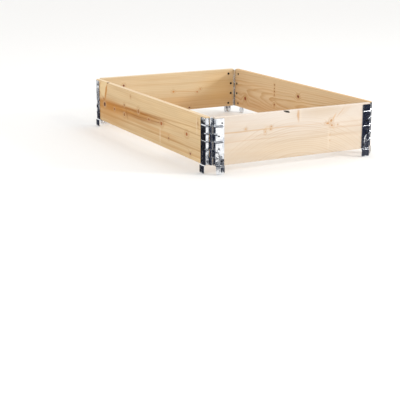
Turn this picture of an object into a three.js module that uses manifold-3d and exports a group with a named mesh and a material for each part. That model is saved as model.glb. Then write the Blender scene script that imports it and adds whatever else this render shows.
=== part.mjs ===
// A folding pallet collar: four softwood boards joined at their corners by pressed steel hinges.
// Millimetres, +Z up. X runs along the long boards and Y along the short ones.
// The origin lies under the middle of the collar, level with the lower ends of the hinge tongues.

import * as THREE from 'three';
import { mergeVertices } from 'three/addons/utils/BufferGeometryUtils.js';
import Module from 'manifold-3d';

const wasm = await Module();
wasm.setup();

// Collar over the boards' outer faces
const collarLength = 1200;
const collarWidth = 800;

// Boards
const boardHeight = 195;
const boardThickness = 20;
const boardEdgeRound = 1.6;

// Hinge sheet and pin
const sheet = 1.75;
const seatGap = 0.3;
const bendInnerRadius = 0.6;
const pinDiameter = 8;
const pinPlay = 0.3;
const pinHeadOverlap = 1.3;
const pinHeadHeight = 1.1;
const foldedGap = 4.4;

// Hinge leaf
const leafWidth = 41;
const leafTopDrop = 5;
const leafBottomRise = 1.8;
const leafCornerRound = 4;
const knuckleCount = 6;
const knuckleGap = 1;
const knuckleClearance = 0.6;
const knuckleCurl = THREE.MathUtils.degToRad( 300 );

// Tongue that reaches over the edge of what the collar stands on
const tongueDrop = 35;
const tongueInset = 2.5;
const tongueCornerRound = 8;
const tongueSlack = 3;
const joggleHeight = 5;

// Pressed ribs, gussets and beads
const ribHalfWidth = 3.4;
const ribHeight = 1.5;
const ribEndMargin = 4;
const gussetReach = 6;
const capRibReach = 10;
const beadHalfWidth = 5.2;
const beadHeight = 1.65;
const beadMiddle = 22;
const beadTop = 36;
const beadEndMargin = 4;
const sweepStart = 60;
const pressedWall = 0.9;

// Rivets
const rivetDiameter = 5;
const rivetHolePlay = 0.3;
const rivetOuterHead = 7.2;
const rivetOuterHeight = 1.1;
const rivetInnerHead = 10.6;
const rivetInnerHeight = 1.3;
const rivetNear = 17;
const rivetFar = 31;
const rivetPitch = 51.5;
const rivetDrop = 2;

// Marks of use: a chip out of the front board's top edge and bark wane on the left board's back end
const chipFromMiddle = -32;
const chipHalfLength = 13;
const chipDepth = 8;
const chipReach = 9;
const waneFromEnd = 74;
const waneHalfLength = 46;
const waneDepth = 22;
const waneReach = 5;

// Roundness of the curves
const pinSides = 12;
const knuckleSteps = 9;
const holeSides = 8;
const ribSides = 6;
const sweepSteps = 3;
const cornerSteps = 2;
const gougeSides = 12;

// Derived places, measured from the sharp corner where two outer faces would meet
const knuckleInner = pinDiameter / 2 + pinPlay;
const knuckleOuter = knuckleInner + sheet;
const pinInset = boardThickness + foldedGap / 2;
const capFace = pinInset + knuckleInner;
const boardStart = capFace + sheet + seatGap;
const leafEdge = capFace + leafWidth;
const capEdge = pinInset - knuckleOuter - knuckleClearance;
const leafFace = - seatGap - sheet;
const leafTop = boardHeight - leafTopDrop;
const leafHeight = leafTop - leafBottomRise;
const knucklePitch = leafHeight / knuckleCount;
const joggle = sheet + tongueSlack;

const wood = new THREE.MeshStandardMaterial( {
	name: 'spruce',
	color: 0xe6cfa8,
	roughness: 0.75,
	metalness: 0
} );
const steel = new THREE.MeshStandardMaterial( {
	name: 'galvanised_steel',
	color: 0xb9bec4,
	roughness: 0.32,
	metalness: 1
} );
const rivetSteel = new THREE.MeshStandardMaterial( {
	name: 'rivet_steel',
	color: 0x55565a,
	roughness: 0.45,
	metalness: 1
} );

// A closed mesh as a solid that can be joined and cut
function solidOf( geometry ) {

	const bare = geometry.clone();
	bare.deleteAttribute( 'normal' );
	bare.deleteAttribute( 'uv' );
	const merged = mergeVertices( bare, 1e-4 );
	return new wasm.Manifold( new wasm.Mesh( {
		numProp: 3,
		vertProperties: new Float32Array( merged.attributes.position.array ),
		triVerts: new Uint32Array( merged.index.array )
	} ) );

}

function geometryOf( solid ) {

	const mesh = solid.getMesh();
	const geometry = new THREE.BufferGeometry();
	geometry.setAttribute( 'position', new THREE.BufferAttribute( new Float32Array( mesh.vertProperties ), 3 ) );
	geometry.setIndex( new THREE.BufferAttribute( new Uint32Array( mesh.triVerts ), 1 ) );
	geometry.computeVertexNormals();
	return geometry;

}

function joined( geometries ) {

	return geometries.map( solidOf ).reduce( ( sum, next ) => sum.add( next ) );

}

// The same shape for the other end of a board: X is mirrored and each triangle turned round
function mirrored( geometry ) {

	const copy = geometry.clone();
	copy.scale( - 1, 1, 1 );
	const index = copy.index.array;
	for ( let i = 0; i < index.length; i += 3 ) {

		[ index[ i ], index[ i + 1 ] ] = [ index[ i + 1 ], index[ i ] ];

	}

	copy.computeVertexNormals();
	return copy;

}

function extruded( shape, depth, curveSegments = cornerSteps ) {

	return new THREE.ExtrudeGeometry( shape, { depth, curveSegments, bevelEnabled: false } );

}

// Leaf frame: X away from the sharp corner along the board, Y inwards from the board's outer face, Z up

// A plan outline raised from one level to another
function upright( shape, bottom, top, curveSegments ) {

	return extruded( shape, top - bottom, curveSegments ).translate( 0, 0, bottom );

}

// An outline in X and Z, given a thickness from one Y to another
function facing( shape, near, far ) {

	const turn = new THREE.Matrix4().makeBasis(
		new THREE.Vector3( 1, 0, 0 ),
		new THREE.Vector3( 0, 0, 1 ),
		new THREE.Vector3( 0, - 1, 0 )
	);
	return extruded( shape, far - near ).applyMatrix4( turn ).translate( 0, far, 0 );

}

// A section in Y and Z, run along X
function along( shape, from, to ) {

	const turn = new THREE.Matrix4().makeBasis(
		new THREE.Vector3( 0, 1, 0 ),
		new THREE.Vector3( 0, 0, 1 ),
		new THREE.Vector3( 1, 0, 0 )
	);
	return extruded( shape, to - from ).applyMatrix4( turn ).translate( from, 0, 0 );

}

// A round-ended bar between two points, flattened across the sheet that it stands on
function bar( from, to, halfWidth, height, acrossX ) {

	const length = from.distanceTo( to );
	const geometry = new THREE.CapsuleGeometry( halfWidth, length, 1, ribSides );
	const flat = height / halfWidth;
	const direction = to.clone().sub( from ).normalize();
	const outward = acrossX ? new THREE.Vector3( 1, 0, 0 ) : new THREE.Vector3( 0, 1, 0 );
	const side = direction.clone().cross( outward ).normalize();
	const normal = side.clone().cross( direction ).normalize();
	geometry.scale( flat, 1, 1 );
	geometry.applyMatrix4( new THREE.Matrix4().makeBasis( normal, direction, side.negate() ) );
	return geometry.translate( ( from.x + to.x ) / 2, ( from.y + to.y ) / 2, ( from.z + to.z ) / 2 );

}

function roundedBox( left, bottom, right, top, radii ) {

	const shape = new THREE.Shape();
	const corners = [
		[ left, bottom, 1, 1 ],
		[ right, bottom, - 1, 1 ],
		[ right, top, - 1, - 1 ],
		[ left, top, 1, - 1 ]
	];
	corners.forEach( ( [ x, y, inX, inY ], i ) => {

		const radius = radii[ i ];
		const from = Math.PI + i * Math.PI / 2;
		if ( radius > 0 ) shape.absarc( x + inX * radius, y + inY * radius, radius, from, from + Math.PI / 2 );
		else if ( i === 0 ) shape.moveTo( x, y );
		else shape.lineTo( x, y );

	} );
	return shape;

}

// Flat plate on the board's outer face
function leafPlate() {

	const start = capFace + bendInnerRadius + sheet;
	const outline = roundedBox( start, leafBottomRise, leafEdge, leafTop, [ 0, 0, leafCornerRound, 0 ] );
	return facing( outline, leafFace, leafFace + sheet );

}

// Right-angled bend round the board's end, with the cap that covers the end grain
function leafBend() {

	const outer = bendInnerRadius + sheet;
	const centreX = capFace + outer;
	const centreY = leafFace + outer;
	const overlap = centreX + sheet;
	const shape = new THREE.Shape();
	shape.moveTo( overlap, leafFace );
	shape.lineTo( overlap, leafFace + sheet );
	shape.lineTo( centreX, leafFace + sheet );
	shape.absarc( centreX, centreY, bendInnerRadius, - Math.PI / 2, - Math.PI, true );
	shape.lineTo( capFace + sheet, capEdge );
	shape.lineTo( capFace, capEdge );
	shape.lineTo( capFace, centreY );
	shape.absarc( centreX, centreY, outer, Math.PI, Math.PI * 1.5, false );
	return upright( shape, leafBottomRise, leafTop );

}

// One knuckle: a tab of the cap, curled round the pin
function leafKnuckle( index ) {

	const top = leafTop - index * knucklePitch - ( index === 0 ? 0 : knuckleGap / 2 );
	const lastGap = index === knuckleCount - 1 ? 0 : knuckleGap / 2;
	const bottom = leafTop - ( index + 1 ) * knucklePitch + lastGap;
	const root = capEdge - sheet;
	const shape = new THREE.Shape();
	shape.moveTo( pinInset + knuckleInner, root );
	shape.lineTo( pinInset + knuckleOuter, root );
	shape.lineTo( pinInset + knuckleOuter, pinInset );
	shape.absarc( pinInset, pinInset, knuckleOuter, 0, knuckleCurl, false );
	shape.absarc( pinInset, pinInset, knuckleInner, knuckleCurl, 0, true );
	return upright( shape, bottom, top, knuckleSteps );

}

// Tongue that hangs below the board, with rounded lower corners, before it is stepped outwards
function leafTongue() {

	const round = tongueCornerRound;
	const start = capFace + tongueInset;
	const top = leafBottomRise + joggleHeight;
	const outline = roundedBox( start, - tongueDrop, leafEdge, top, [ round, round, 0, 0 ] );
	return facing( outline, leafFace, leafFace + sheet );

}

// Steps the plate outwards below the board: the band of the step leans, and what hangs below it moves over
function stepped( body ) {

	const reach = leafWidth * 4;
	const stepTop = leafBottomRise;
	const stepBottom = leafBottomRise - joggleHeight;
	const band = ( low, high ) => {

		const box = new THREE.BoxGeometry( reach, reach, high - low );
		return geometryOf( body.intersect( solidOf( box.translate( capFace, 0, ( high + low ) / 2 ) ) ) );

	};

	const lean = new THREE.Matrix4().makeShear( 0, 0, 0, 0, 0, joggle / joggleHeight );
	const middle = band( stepBottom, stepTop ).translate( 0, 0, - stepTop ).applyMatrix4( lean );
	middle.translate( 0, 0, stepTop );
	const lower = band( - reach, stepBottom ).translate( 0, - joggle, 0 );
	return joined( [ band( stepTop, reach * 2 ), middle, lower ] );

}

// The pressed forms of a leaf: raised on the outside, or the hollows behind them
function leafPressings( hollow ) {

	const thinner = hollow ? pressedWall : 0;
	const faceY = hollow ? leafFace + sheet : leafFace;
	const bend = bendInnerRadius + sheet;
	const pieces = [];
	const rib = ( from, to, acrossX = false ) => {

		pieces.push( bar( from, to, ribHalfWidth - thinner, ribHeight - thinner / 2, acrossX ) );

	};

	const bead = ( from, to ) => {

		pieces.push( bar( from, to, beadHalfWidth - thinner, beadHeight - thinner / 2, false ) );

	};

	// Ribs at the first and third joint between knuckles, short gussets at the second and fifth
	for ( let i = 1; i < knuckleCount; i ++ ) {

		const level = leafTop - i * knucklePitch;
		const full = i === 1 || i === 3;
		const reach = full ? leafEdge - ribEndMargin - ribHalfWidth : capFace + bend + gussetReach;
		const start = new THREE.Vector3( capFace + bend, faceY, level );
		if ( full || ( ! hollow && i !== 4 ) ) rib( start, new THREE.Vector3( reach, faceY, level ) );
		if ( hollow ) continue;
		const capStart = new THREE.Vector3( capFace, leafFace + bend, level );
		rib( capStart, new THREE.Vector3( capFace, capRibReach, level ), true );

	}

	// One broad bead stiffens the tongue and sweeps up to the bend
	const middle = capFace + beadMiddle;
	const lowEnd = - tongueDrop + beadEndMargin + beadHalfWidth;
	bead( new THREE.Vector3( middle, faceY, lowEnd ), new THREE.Vector3( middle, faceY, beadTop ) );
	const sweep = new THREE.QuadraticBezierCurve3(
		new THREE.Vector3( capFace + bend, faceY, sweepStart ),
		new THREE.Vector3( middle, faceY, sweepStart ),
		new THREE.Vector3( middle, faceY, beadTop )
	);
	const section = new THREE.Shape().absellipse(
		0, 0, beadHeight - thinner / 2, beadHalfWidth - thinner, 0, Math.PI * 2
	);
	pieces.push( new THREE.ExtrudeGeometry( section, {
		steps: sweepSteps,
		curveSegments: ribSides / 2,
		bevelEnabled: false,
		extrudePath: sweep
	} ) );
	return pieces;

}

const rivetPlaces = [ 1.5, 0.5, - 0.5, - 1.5 ].map( ( row, i ) => ( {
	x: capFace + ( i === 0 || i === 3 ? rivetFar : rivetNear ),
	z: leafBottomRise + leafHeight / 2 - rivetDrop + row * rivetPitch
} ) );

// A drill through plate and board at one rivet
function rivetHole( place ) {

	const radius = rivetDiameter / 2 + rivetHolePlay;
	const reach = boardThickness * 3;
	const drill = new THREE.CylinderGeometry( radius, radius, reach, holeSides );
	return solidOf( drill.translate( place.x, 0, place.z ) );

}

// One pressed leaf. Those of the short boards hold knuckles 1, 3 and 5 from the top, the others 2, 4 and 6
function leaf( firstKnuckle ) {

	const pieces = [ leafPlate(), leafBend(), leafTongue(), ...leafPressings( false ) ];
	for ( let i = firstKnuckle; i < knuckleCount; i += 2 ) pieces.push( leafKnuckle( i ) );
	let body = joined( pieces );
	for ( const hollow of leafPressings( true ) ) body = body.subtract( solidOf( hollow ) );
	for ( const place of rivetPlaces ) body = body.subtract( rivetHole( place ) );
	return geometryOf( stepped( body ) );

}

// A rivet: a small set head on the steel, a broad head on the inside of the board
function rivet() {

	const shank = rivetDiameter / 2;
	const outer = rivetOuterHead / 2;
	const inner = rivetInnerHead / 2;
	const under = leafFace - seatGap;
	const over = boardThickness + seatGap;
	const profile = [
		[ 0, under - rivetOuterHeight ],
		[ outer, under ],
		[ shank, under ],
		[ shank, over ],
		[ inner, over ],
		[ inner * 0.84, over + rivetInnerHeight * 0.7 ],
		[ 0, over + rivetInnerHeight ]
	];
	return new THREE.LatheGeometry( profile.map( ( [ r, y ] ) => new THREE.Vector2( r, y ) ), holeSides );

}

// A hinge pin with a flattened head at each end
function pin() {

	const radius = pinDiameter / 2;
	const head = radius + pinHeadOverlap;
	const low = leafBottomRise - seatGap;
	const high = leafTop + seatGap;
	const profile = [
		[ 0, low - pinHeadHeight ],
		[ head, low - pinHeadHeight ],
		[ head, low ],
		[ radius, low ],
		[ radius, high ],
		[ head, high ],
		[ head, high + pinHeadHeight ],
		[ 0, high + pinHeadHeight ]
	];
	const points = profile.map( ( [ r, y ] ) => new THREE.Vector2( r, y ) );
	return new THREE.LatheGeometry( points, pinSides ).rotateX( Math.PI / 2 );

}

// A scoop that takes wood off the top outer edge of a board
function gouge( x, halfLength, reach, depth ) {

	const scoop = new THREE.SphereGeometry( 1, gougeSides, gougeSides / 2 );
	scoop.scale( halfLength, reach, depth );
	return solidOf( scoop.translate( x, 0, boardHeight ) );

}

// A board in its own frame: X along it from the middle, Y inwards from the outer face, Z up
function board( span, gouges ) {

	const half = span / 2 - boardStart;
	const round = boardEdgeRound;
	const section = roundedBox( 0, 0, boardThickness, boardHeight, [ round, round, round, round ] );
	let body = solidOf( along( section, - half, half ) );
	for ( const place of rivetPlaces ) {

		const offset = span / 2 - place.x;
		for ( const x of [ - offset, offset ] ) body = body.subtract( rivetHole( { x, z: place.z } ) );

	}

	for ( const cut of gouges ) body = body.subtract( cut );
	return geometryOf( body );

}

const longLeaf = leaf( 1 );
const shortLeaf = leaf( 0 );
const rivetShape = rivet();
const pinShape = pin();

const waneMiddle = - ( collarLength / 2 - boardStart ) + waneFromEnd - waneHalfLength;
const chip = gouge( chipFromMiddle, chipHalfLength, chipReach, chipDepth );
const wane = gouge( waneMiddle, waneHalfLength, waneReach, waneDepth );

// Each side: its span between sharp corners, its turn, its outer face's place, its leaf and its two ends
const sides = [
	{
		name: 'left',
		span: collarLength,
		turn: 0,
		out: [ 0, - collarWidth / 2 ],
		shape: longLeaf,
		ends: [ 'back', 'front' ],
		gouges: [ wane ]
	},
	{
		name: 'front',
		span: collarWidth,
		turn: 90,
		out: [ collarLength / 2, 0 ],
		shape: shortLeaf,
		ends: [ 'left', 'right' ],
		gouges: [ chip ]
	},
	{
		name: 'right',
		span: collarLength,
		turn: 180,
		out: [ 0, collarWidth / 2 ],
		shape: longLeaf,
		ends: [ 'front', 'back' ],
		gouges: []
	},
	{
		name: 'back',
		span: collarWidth,
		turn: - 90,
		out: [ - collarLength / 2, 0 ],
		shape: shortLeaf,
		ends: [ 'right', 'left' ],
		gouges: []
	}
];

function mesh( name, geometry, material ) {

	const result = new THREE.Mesh( geometry, material );
	result.name = name;
	return result;

}

// One board with its two leaves and their rivets
function sideGroup( side ) {

	const group = new THREE.Group();
	group.position.set( side.out[ 0 ], side.out[ 1 ], tongueDrop );
	group.rotation.z = THREE.MathUtils.degToRad( side.turn );
	group.add( mesh( `${ side.name }_board`, board( side.span, side.gouges ), wood ) );
	side.ends.forEach( ( end, i ) => {

		const sign = i === 0 ? 1 : - 1;
		const shape = i === 0 ? side.shape : mirrored( side.shape );
		const leafMesh = mesh( `${ side.name }_board_${ end }_leaf`, shape, steel );
		leafMesh.position.x = - sign * side.span / 2;
		group.add( leafMesh );
		rivetPlaces.forEach( ( place, row ) => {

			const rivetMesh = mesh( `${ side.name }_board_${ end }_rivet_${ row + 1 }`, rivetShape, rivetSteel );
			rivetMesh.position.set( - sign * ( side.span / 2 - place.x ), 0, place.z );
			group.add( rivetMesh );

		} );

	} );
	return group;

}

const collar = new THREE.Group();
for ( const side of sides ) collar.add( sideGroup( side ) );

for ( const [ endName, endSign ] of [ [ 'front', 1 ], [ 'back', - 1 ] ] ) {

	for ( const [ sideName, sideSign ] of [ [ 'left', - 1 ], [ 'right', 1 ] ] ) {

		const pinMesh = mesh( `${ endName }_${ sideName }_pin`, pinShape, steel );
		const x = endSign * ( collarLength / 2 - pinInset );
		const y = sideSign * ( collarWidth / 2 - pinInset );
		pinMesh.position.set( x, y, tongueDrop );
		collar.add( pinMesh );

	}

}

export default collar;
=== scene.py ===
"""Dresses a folding pallet collar: spruce boards, pressed galvanised hinges, rivets and hinge pins."""

from __future__ import annotations

import logging
import math
from dataclasses import dataclass
from enum import Enum
from typing import Callable

import bmesh
import bpy
from mathutils import Matrix, Vector, noise

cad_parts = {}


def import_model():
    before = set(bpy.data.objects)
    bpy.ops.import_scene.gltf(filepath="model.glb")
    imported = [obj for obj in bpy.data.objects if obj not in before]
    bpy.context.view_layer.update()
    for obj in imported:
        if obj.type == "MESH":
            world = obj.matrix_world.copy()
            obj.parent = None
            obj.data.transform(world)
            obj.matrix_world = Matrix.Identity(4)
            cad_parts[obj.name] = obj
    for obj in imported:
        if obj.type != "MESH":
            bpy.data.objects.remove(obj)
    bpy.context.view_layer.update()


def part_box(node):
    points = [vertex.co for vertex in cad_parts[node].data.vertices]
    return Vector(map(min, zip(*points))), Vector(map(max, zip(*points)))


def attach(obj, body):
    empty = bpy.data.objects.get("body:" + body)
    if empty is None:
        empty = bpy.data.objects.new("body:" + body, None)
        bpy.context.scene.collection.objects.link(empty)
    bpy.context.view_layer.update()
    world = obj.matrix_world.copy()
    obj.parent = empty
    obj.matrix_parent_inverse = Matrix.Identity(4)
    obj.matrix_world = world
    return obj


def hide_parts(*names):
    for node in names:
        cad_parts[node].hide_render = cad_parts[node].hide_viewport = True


LOG = logging.getLogger("collar")
MM = 0.001
TOUCH = 0.05  # Millimetres within which a point counts as lying on a line.
QUARTER = math.pi / 2

Piece = bpy.types.Object
Socket = bpy.types.NodeSocket


class Slot(Enum):
    """The record's material slots."""

    BOARD = "spruce_board"
    SHEET = "galvanised_steel"
    RIVET = "rivet_steel"


@dataclass(frozen=True)
class CollarSizes:
    """Sizes of the collar in millimetres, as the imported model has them."""

    length: float = 1200.0
    width: float = 800.0
    board_height: float = 195.0
    board_thickness: float = 20.0
    board_edge_round: float = 1.6
    lift: float = 35.0
    board_start: float = 28.55
    sheet: float = 1.75
    leaf_face: float = -2.05
    cap_face: float = 26.5
    bend_outer: float = 2.35
    cap_edge: float = 15.55
    leaf_edge: float = 67.5
    leaf_bottom: float = 1.8
    leaf_top: float = 190.0
    leaf_corner: float = 4.0
    knuckles: int = 6
    knuckle_gap: float = 1.0
    knuckle_curl: float = 300.0
    pin_inset: float = 22.2
    pin_radius: float = 4.0
    tongue_drop: float = 35.0
    tongue_corner: float = 8.0
    joggle: float = 4.75
    joggle_height: float = 5.0


@dataclass(frozen=True)
class SidePlan:
    """One side of the collar.

    Its own frame has X along the board from its middle, Y inwards from the outer face and Z up
    from the bottom edge.
    """

    name: str
    span: float
    turn: float
    outer: tuple[float, float]
    ends: tuple[str, str]
    first_knuckle: int

    @property
    def body(self) -> str:
        """The CAD body that the side belongs to."""
        return f"{self.name}_side"

    def place(self, lift: float) -> Matrix:
        """Gives the move from the side's own frame, lifted by so many millimetres, to the collar's."""
        move = Matrix.Translation(Vector((*self.outer, lift)) * MM)
        return move @ Matrix.Rotation(math.radians(self.turn), 4, "Z")


SIDES = (
    SidePlan("left", 1200.0, 0.0, (0.0, -400.0), ("back", "front"), 1),
    SidePlan("front", 800.0, 90.0, (600.0, 0.0), ("left", "right"), 0),
    SidePlan("right", 1200.0, 180.0, (0.0, 400.0), ("front", "back"), 1),
    SidePlan("back", 800.0, -90.0, (-600.0, 0.0), ("right", "left"), 0),
)


def linear(colour: str) -> tuple[float, float, float, float]:
    """Turns an sRGB hex value into the linear colour that a shader takes.

    Args:
        colour: Six hex digits after a hash sign.

    Returns:
        Red, green, blue and an alpha of 1.
    """
    parts = [int(colour[i : i + 2], 16) / 255 for i in (1, 3, 5)]
    red, green, blue = (c / 12.92 if c <= 0.04045 else ((c + 0.055) / 1.055) ** 2.4 for c in parts)
    return red, green, blue, 1.0


def smoothstep(low: float, high: float, value: float) -> float:
    """Rises smoothly from 0 at low to 1 at high."""
    share = min(1.0, max(0.0, (value - low) / (high - low)))
    return share * share * (3 - 2 * share)


class Tree:
    """The node tree of a material or world, empty at the start."""

    def __init__(self, owner: bpy.types.Material | bpy.types.World) -> None:
        """Empties the owner's tree."""
        owner.use_nodes = True
        self.owner = owner
        self.nodes = owner.node_tree.nodes
        self.links = owner.node_tree.links
        self.nodes.clear()

    def add(self, kind: str, inputs: dict, out: int | str = 0, **settings: object) -> Socket | None:
        """Adds one node with its settings, values and links.

        Args:
            kind: Blender's name for the node, without ShaderNode in front.
            inputs: A value or a socket to link for each input, by its name or number.
            out: The output to give back, by its name or number.
            **settings: The node's own properties.

        Returns:
            That output, or None for a node without outputs.
        """
        node = self.nodes.new(f"ShaderNode{kind}")
        for name, value in settings.items():
            setattr(node, name, value)
        for key, value in inputs.items():
            if isinstance(value, Socket):
                self.links.new(value, node.inputs[key])
            else:
                node.inputs[key].default_value = value
        return node.outputs[out] if node.outputs else None

    def wear(
        self, surface: dict, relief: Socket | None = None, bump: dict | None = None
    ) -> bpy.types.Material:
        """Gives the material its shader.

        Args:
            surface: The shader's inputs.
            relief: A height for its bump.
            bump: The bump's other inputs.

        Returns:
            The material.
        """
        if relief:
            surface = {**surface, "Normal": self.add("Bump", {**bump, "Height": relief})}
        self.add("OutputMaterial", {0: self.add("BsdfPrincipled", surface)})
        return self.owner


def plain(name: str, colour: str, roughness: float) -> bpy.types.Material:
    """Makes a material of one colour for the studio."""
    tree = Tree(bpy.data.materials.new(name))
    return tree.wear({"Base Color": linear(colour), "Roughness": roughness})


class Bench:
    """Habits of modelling that all the pieces share."""

    @staticmethod
    def clear() -> None:
        """Deselects every object."""
        bpy.ops.object.select_all(action="DESELECT")

    @staticmethod
    def take(piece: Piece) -> None:
        """Selects one object and makes it active."""
        Bench.clear()
        piece.select_set(True)
        bpy.context.view_layer.objects.active = piece

    @staticmethod
    def pick(piece: Piece, kind: str, where: Callable[..., bool]) -> None:
        """Selects the points or edges of a piece in edit mode that pass a test.

        Args:
            piece: The object in edit mode.
            kind: VERT or EDGE.
            where: The test on a point's place, or on the places of an edge's ends, in millimetres.
        """
        bpy.ops.mesh.select_mode(type=kind)
        bpy.ops.mesh.select_all(action="DESELECT")
        shape = bmesh.from_edit_mesh(piece.data)
        by_point = kind == "VERT"
        for item in shape.verts if by_point else shape.edges:
            ends = (item,) if by_point else item.verts
            if where(*(end.co / MM for end in ends)):
                item.select = True
        if by_point:
            shape.select_flush(True)
        bmesh.update_edit_mesh(piece.data)

    @staticmethod
    def apply(piece: Piece, name: str, kind: str, **settings: object) -> None:
        """Adds one modifier and applies it.

        Args:
            piece: The object to change.
            name: The modifier's name.
            kind: Blender's name for the modifier.
            **settings: The modifier's own properties.
        """
        Bench.take(piece)
        modifier = piece.modifiers.new(name, kind)
        for key, value in settings.items():
            setattr(modifier, key, value)
        bpy.ops.object.modifier_apply(modifier=modifier.name)

    @staticmethod
    def settle(piece: Piece) -> None:
        """Puts an object's place, turn and size into its mesh."""
        Bench.take(piece)
        bpy.ops.object.transform_apply(location=True, rotation=True, scale=True)

    @staticmethod
    def smooth(piece: Piece, degrees: float) -> None:
        """Shades an object smooth, apart from edges that turn by more than some degrees."""
        Bench.take(piece)
        bpy.ops.object.shade_smooth_by_angle(angle=math.radians(degrees))

    @staticmethod
    def turned(name: str, profile: list[tuple[float, float]], steps: int) -> Piece:
        """Turns a profile round the Z axis.

        Args:
            name: The new object's name.
            profile: Radius and height of each point in millimetres, on the axis at both ends.
            steps: Facets round the axis.

        Returns:
            A closed object.
        """
        Bench.clear()
        bpy.ops.mesh.primitive_plane_add(size=1 * MM, location=(0, 0, 0))
        piece = bpy.context.object
        piece.name = name
        bpy.ops.object.mode_set(mode="EDIT")
        bpy.ops.mesh.select_all(action="SELECT")
        bpy.ops.mesh.merge(type="CENTER")
        points = [Vector((radius, 0, height)) * MM for radius, height in profile]
        bpy.ops.transform.translate(value=points[0])
        for here, there in zip(points, points[1:]):
            bpy.ops.mesh.extrude_vertices_move(TRANSFORM_OT_translate={"value": there - here})
        bpy.ops.mesh.select_all(action="SELECT")
        bpy.ops.mesh.spin(steps=steps, angle=math.tau, center=(0, 0, 0), axis=(0, 0, 1))
        bpy.ops.mesh.select_all(action="SELECT")
        bpy.ops.mesh.remove_doubles(threshold=0.01 * MM)
        bpy.ops.mesh.normals_make_consistent(inside=False)
        bpy.ops.object.mode_set(mode="OBJECT")
        return piece

    @staticmethod
    def copied(master: Piece, name: str, place: Matrix) -> Piece:
        """Copies a master piece, with its own mesh, to its place.

        Args:
            master: The modelled piece.
            name: The copy's name.
            place: The move to the copy's place, mirrored or not.

        Returns:
            The copy, with its place in its mesh.
        """
        piece = bpy.data.objects.new(name, master.data.copy())
        bpy.context.scene.collection.objects.link(piece)
        piece.data.name = name
        piece.data.transform(place)
        if place.determinant() < 0:
            piece.data.flip_normals()
        piece.data.update()
        return piece

    @staticmethod
    def stands_for(piece: Piece, body: str, slot: Slot, material: bpy.types.Material) -> None:
        """Finishes a piece that takes the place of the CAD node it is named after.

        Args:
            piece: The new piece, named after the node with `_finish` behind it.
            body: The body that it rides on.
            slot: The record's slot for its finish; not used.
            material: Its material.
        """
        node = piece.name.removesuffix("_finish")
        piece.data.materials.clear()
        piece.data.materials.append(material)
        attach(piece, body)
        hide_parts(node)
        low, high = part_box(node)
        points = [vertex.co for vertex in piece.data.vertices]
        off = max(
            max(abs(low[i] - min(p[i] for p in points)), abs(high[i] - max(p[i] for p in points)))
            for i in range(3)
        )
        LOG.info("%s: %d points, box off by %.2f mm", piece.name, len(points), off / MM)


@dataclass(frozen=True)
class Knot:
    """One knot on a board's face, in millimetres in the side's frame."""

    along: float
    height: float
    half_length: float
    half_height: float
    colour: str = ""


@dataclass(frozen=True)
class StainOrPaintedLight:
    """A soft patch or slanting mark on a board's face, in millimetres in the side's frame: a stain in the
    wood, a patch of painted shade or a patch of painted light.

    The lean is how far the mark moves along the board for each millimetre up.
    """

    along: float
    height: float
    half_length: float
    half_height: float
    lean: float
    colour: str
    strength: float
    softness: float = 0.6


@dataclass(frozen=True)
class Streak:
    """A band or line that runs along a board, in millimetres in the side's frame."""

    height: float
    rise: float
    half: float
    strength: float
    start: float = -600.0
    end: float = 600.0
    fade: float = 120.0
    colour: str = ""


@dataclass(frozen=True)
class WoodPoint:
    """Sockets for the point that is shaded, in millimetres in the side's frame, and its fibres."""

    place: Socket
    along: Socket
    depth: Socket
    height: Socket
    fibres: Socket


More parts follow.
